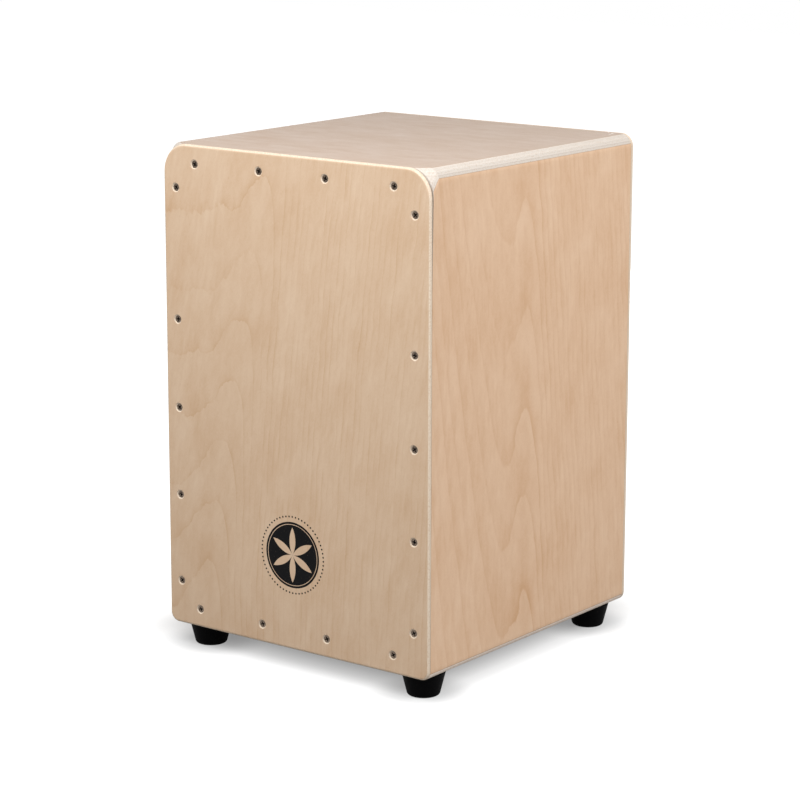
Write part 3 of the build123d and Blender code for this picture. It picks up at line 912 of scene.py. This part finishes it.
def painted_shadow_under_drum(bench, place, stage):
    """Painted shadow on the floor: floor white, from its least under the drum and to its left and back out
    to full.
    """
    reach = stage.shadow / 2
    inset, fade = 70 * MM, 100 * MM
    off = bench.vector("ABSOLUTE", bench.vector("ADD", place, (reach, -reach, 0.0)))
    core = (cad_high.x + reach - inset, cad_high.y + reach - inset, 0.0)
    off = bench.vector("MAXIMUM", bench.vector("SUBTRACT", off, core), ORIGIN)
    return bench.step(bench.vector("LENGTH", off), 0.0, fade, stage.floor_glow, 1.0)


def painted_shadow_round_feet(bench, place, stage):
    """Painted shadow round the feet: floor white by the distance to the nearest foot, found by
    folding the floor about the middle of the four."""
    near, far = (sum(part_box(node), Vector()) / 2 for node in ("front_left_foot", "back_right_foot"))
    middle, spread = (near + far) / 2, (far - near) / 2
    beside = bench.vector("ABSOLUTE", bench.vector("SUBTRACT", place, (middle.x, middle.y, 0.0)))
    beside = bench.vector("SUBTRACT", beside, (spread.x, spread.y, 0.0))
    tread, darkest = 15 * MM, 0.6
    return bench.step(bench.vector("LENGTH", beside), tread, tread + stage.contact, darkest)


def white_floor(stage):
    """A pale floor that is lifted to the white background where it is seen, keeps the drum's own
    shadow, and has painted shadow where the lift is less: under the drum and round each foot."""
    material = bpy.data.materials.new("pale_floor")
    material.use_nodes = True
    tree = material.node_tree
    bench = Bench(tree)
    tree.nodes.remove(tree.nodes["Principled BSDF"])
    body = bench.add("ShaderNodeBsdfDiffuse", {"Color": stage.floor}).outputs[0]
    place = bench.add("ShaderNodeTexCoord").outputs["Object"]
    # Painted shadow: the lift to white is less under the drum and round each foot
    white = bench.times(painted_shadow_under_drum(bench, place, stage), painted_shadow_round_feet(bench, place, stage))
    strength = bench.times(seen_directly(bench), white)
    glow = bench.add("ShaderNodeEmission", {"Strength": strength}).outputs[0]
    both = bench.add("ShaderNodeAddShader", {0: body, 1: glow}).outputs[0]
    bench.put(tree.nodes["Material Output"].inputs["Surface"], both)
    return material


def white_room(stage):
    """A world that shows white, and lights the drum with a softer grey."""
    world = bpy.data.worlds.new("studio")
    world.use_nodes = True
    tree = world.node_tree
    bench = Bench(tree)
    background = tree.nodes["Background"]
    background.inputs["Color"].default_value = (1.0, 1.0, 1.0, 1.0)
    seen = seen_directly(bench)
    bench.put(background.inputs["Strength"], bench.math("MULTIPLY_ADD", seen, 1.0 - stage.fill, stage.fill))
    bpy.context.scene.world = world


def soft_box(name, place, target, size, power):
    """A square area lamp that faces a point."""
    lamp = bpy.data.lights.new(name, "AREA")
    lamp.shape = "SQUARE"
    lamp.size = size
    lamp.energy = power
    holder = bpy.data.objects.new(name, lamp)
    holder.location = place
    holder.rotation_euler = (Vector(target) - Vector(place)).to_track_quat("-Z", "Y").to_euler()
    bpy.context.scene.collection.objects.link(holder)


def lay_floor(scene, stage):
    """A square of pale floor under the drum."""
    reach = 6.0
    mesh = bpy.data.meshes.new("studio_floor")
    corners = [(-reach, -reach, 0.0), (reach, -reach, 0.0), (reach, reach, 0.0), (-reach, reach, 0.0)]
    mesh.from_pydata(corners, [], [(0, 1, 2, 3)])
    mesh.materials.append(white_floor(stage))
    floor = bpy.data.objects.new("studio_floor", mesh)
    scene.collection.objects.link(floor)


def set_up_camera(scene, stage, middle):
    """The camera, which looks a little aside of the drum's middle."""
    back = Vector((math.sin(stage.azimuth) * math.cos(stage.elevation),
                   -math.cos(stage.azimuth) * math.cos(stage.elevation), math.sin(stage.elevation)))
    aside = Vector((0.0057, -0.0102, -0.0003))
    lens = bpy.data.cameras.new("camera")
    lens.lens = stage.lens
    lens.shift_x, lens.shift_y = 0.0011, -0.009
    camera = bpy.data.objects.new("camera", lens)
    camera.location = middle + aside + back * stage.distance
    level = (-back).to_track_quat("-Z", "Y")
    camera.rotation_euler = (level @ Quaternion((0.0, 0.0, 1.0), stage.roll)).to_euler()
    scene.collection.objects.link(camera)
    scene.camera = camera


# ---------------------------------------------------------------------------
# Operators
# ---------------------------------------------------------------------------

class DressStep:
    """What every step shares: it can be undone, and it has no dialogue."""

    bl_options = {"REGISTER", "UNDO"}

    def execute(self, context):
        self.make(context.scene)
        return {"FINISHED"}


class CAJON_OT_front_plate(DressStep, Operator):
    """Finish the struck plate, with its printed rosette"""

    bl_idname = "cajon.front_plate"
    bl_label = "Front Plate"

    def make(self, scene):
        made = board("front_plate", (0, 1, 0), (1, 0, 0), (0, 0, -1))
        low_edge = cad_high.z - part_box("front_plate")[0].z
        # Painted shade: dark lines where the plate meets the panels, along its lower edge and along its
        # left edge
        seams = (Seam(BELOW, made.thickness, 0.5 * MM, 0.3), Seam(ALONG, low_edge, 1.3 * MM, 0.6),
                 Seam(ACROSS, 0.0, 2.2 * MM, 0.4))
        wood = scene.cajon_wood
        colours = (wood.front, wood.plate_ply)
        dress("front_plate", plywood("front_veneer", made, FRONT_FIGURE, colours, wood, seams,
                                     rosette_print(made, scene.cajon_rosette)))


class CAJON_OT_panels(DressStep, Operator):
    """Finish the four thick panels of the box"""

    bl_idname = "cajon.panels"
    bl_label = "Box Panels"

    def make(self, scene):
        wood = scene.cajon_wood
        side_low, side_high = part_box("right_side_panel")
        lid_lip, base_lip = cad_high.z - side_high.z, side_low.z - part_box("bottom_panel")[0].z
        # Painted shade: dark lines where the panels meet the front plate, the top panel and the bottom
        # panel
        front_seam = Seam(ACROSS, 0.0, 0.5 * MM, 0.2)
        joints = (front_seam, Seam(ALONG, 0.0, 0.35 * MM, 0.15),
                  Seam(ALONG, side_high.z - side_low.z, 0.35 * MM, 0.6))
        panels = (
            ("right_side_panel", (-1, 0, 0), (0, 1, 0), (0, 0, -1), RIGHT_FIGURE, wood.side,
             wood.panel_ply, joints),
            ("left_side_panel", (1, 0, 0), (0, 1, 0), (0, 0, -1), LEFT_FIGURE, wood.side,
             wood.panel_ply, joints),
            ("top_panel", (0, 0, -1), (0, 1, 0), (1, 0, 0), TOP_FIGURE, wood.lid,
             wood.panel_ply, (front_seam, Seam(BELOW, lid_lip, 0.30 * MM, 0.15))),
            # The bottom panel gets the lighter plies: painted light on its edge
            ("bottom_panel", (0, 0, 1), (0, 1, 0), (1, 0, 0), BASE_FIGURE, wood.lid,
             wood.lit_base_ply, (front_seam, Seam(BELOW, base_lip, 0.25 * MM, 0.45))),
        )
        for node, inward, across, along, figure, tone, plies, seams in panels:
            made = board(node, inward, across, along)
            dress(node, plywood(node + "_veneer", made, figure, (tone, plies), wood, seams))


class CAJON_OT_back_plate(DressStep, Operator):
    """Finish the rear plate and the edge of its sound port"""

    bl_idname = "cajon.back_plate"
    bl_label = "Back Plate"

    def make(self, scene):
        made = board("back_plate", (0, -1, 0), (1, 0, 0), (0, 0, -1))
        # Painted shade: a dark line where the plate meets the panels
        seams = (Seam(BELOW, made.thickness, 0.5 * MM, 0.3),)
        wood = scene.cajon_wood
        colours = (wood.back, wood.plate_ply)
        dress("back_plate", plywood("back_veneer", made, BACK_FIGURE, colours, wood, seams))


class CAJON_OT_battens(DressStep, Operator):
    """Finish the eight cleats and the snare bar"""

    bl_idname = "cajon.battens"
    bl_label = "Battens"

    def make(self, scene):
        seed = 5.0
        for node in sorted(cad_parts):
            if node.endswith("cleat") or node == "snare_bar":
                upright = "left" in node or "right" in node
                along = (0, 0, 1) if upright else (1, 0, 0)
                dress(node, pine(node + "_pine", node, along, scene.cajon_wood, seed))
                seed += 3.0


class CAJON_OT_plate_screws(DressStep, Operator):
    """Drive the countersunk screws of both plates"""

    bl_idname = "cajon.plate_screws"
    bl_label = "Plate Screws"

    def make(self, scene):
        screws = scene.cajon_screws
        sets = (
            ("front", (0, 1, 0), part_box("front_plate_screws")[0].y),
            ("back", (0, -1, 0), -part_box("back_plate_screws")[1].y),
        )
        for side, way, crown in sets:
            # The recesses of the plate screws get painted shade with grime
            finish = metal(side + "_dark_zinc", screws.plating, 0.45, 0.36, 3.0, shade_and_grime=(way, crown))
            driven_screws("countersunk_" + side + "_screws", side + "_plate_screws", way, crown,
                          finish, "screw_steel", screws)


class CAJON_OT_feet(DressStep, Operator):
    """Finish the rubber feet and their washers, and drive their screws"""

    bl_idname = "cajon.feet"
    bl_label = "Feet"

    def make(self, scene):
        rubber = moulded_rubber("foot_rubber_moulded", scene.cajon_feet)
        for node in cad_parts:
            if node.endswith("foot"):
                dress(node, rubber)
        finish = metal("bright_zinc", scene.cajon_screws.bright, 0.7, 0.30, 21.0)
        dress("foot_washers", finish)
        driven_screws("pan_head_foot_screws", "foot_screws", (0, 0, 1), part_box("foot_screws")[0].z,
                      finish, "plated_steel", scene.cajon_screws)


class CAJON_OT_snares(DressStep, Operator):
    """Wind the snare wires, finish their clips and drive the clips' screws"""

    bl_idname = "cajon.snares"
    bl_label = "Snares"

    def make(self, scene):
        snares = scene.cajon_snares
        steel = metal("drawn_wire", snares.steel, 0.6, 0.28, 31.0)
        strip = metal("rolled_brass", snares.brass, 0.6, 0.34, 37.0, stretch=(0.2, 1.0, 1.0))
        for side in ("left", "right"):
            coiled_wires(side + "_coiled_snare", side + "_snare_wires", snares, steel)
            dress(side + "_snare_clip", strip)
        finish = metal("clip_zinc", scene.cajon_screws.bright, 0.7, 0.32, 43.0)
        driven_screws("pan_head_clip_screws", "snare_clip_screws", (0, 1, 0),
                      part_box("snare_clip_screws")[0].y, finish, "plated_steel", scene.cajon_screws)


class CAJON_OT_stage(DressStep, Operator):
    """Lay the floor, light the studio and set up the camera"""

    bl_idname = "cajon.stage"
    bl_label = "Stage"

    def make(self, scene):
        stage = scene.cajon_stage
        scene.view_settings.view_transform = "Standard"
        lay_floor(scene, stage)
        white_room(stage)
        middle = (cad_low + cad_high) / 2
        soft_box("front_soft_box", (0.05, -0.90, 1.15), middle, 0.8, stage.front_lamp)
        soft_box("side_soft_box", (1.45, 0.20, 1.25), middle, 0.9, stage.side_lamp)
        soft_box("back_soft_box", (-0.7, 1.9, 0.35), middle, 0.5, stage.back_lamp)
        set_up_camera(scene, stage, middle)


SETTINGS = (
    ("cajon_wood", CajonWood),
    ("cajon_rosette", CajonRosette),
    ("cajon_screws", CajonScrews),
    ("cajon_snares", CajonSnares),
    ("cajon_feet", CajonFeet),
    ("cajon_stage", CajonStage),
)
STEPS = (
    CAJON_OT_front_plate,
    CAJON_OT_panels,
    CAJON_OT_back_plate,
    CAJON_OT_battens,
    CAJON_OT_plate_screws,
    CAJON_OT_feet,
    CAJON_OT_snares,
    CAJON_OT_stage,
)


class CAJON_PT_dressing(Panel):
    """Steps and settings of the cajon's dressing"""

    bl_idname = "CAJON_PT_dressing"
    bl_label = "Cajon"
    bl_space_type = "VIEW_3D"
    bl_region_type = "UI"
    bl_category = "Cajon"

    def draw(self, context):
        for step in STEPS:
            self.layout.operator(step.bl_idname)
        for name, kind in SETTINGS:
            box = self.layout.box()
            box.label(text=name.replace("cajon_", "").title())
            for key in kind.__annotations__:
                box.prop(getattr(context.scene, name), key)


def register():
    """Registers the settings, the steps and the panel."""
    for name, kind in SETTINGS:
        bpy.utils.register_class(kind)
        setattr(bpy.types.Scene, name, PointerProperty(type=kind))
    for kind in (*STEPS, CAJON_PT_dressing):
        bpy.utils.register_class(kind)


def unregister():
    """Takes them out again, last first."""
    for kind in (CAJON_PT_dressing, *reversed(STEPS)):
        bpy.utils.unregister_class(kind)
    for name, kind in reversed(SETTINGS):
        delattr(bpy.types.Scene, name)
        bpy.utils.unregister_class(kind)


def main():
    """Runs every step in order."""
    register()
    for step in STEPS:
        family, name = step.bl_idname.split(".")
        getattr(getattr(bpy.ops, family), name)()


if __name__ == "__main__":
    main()
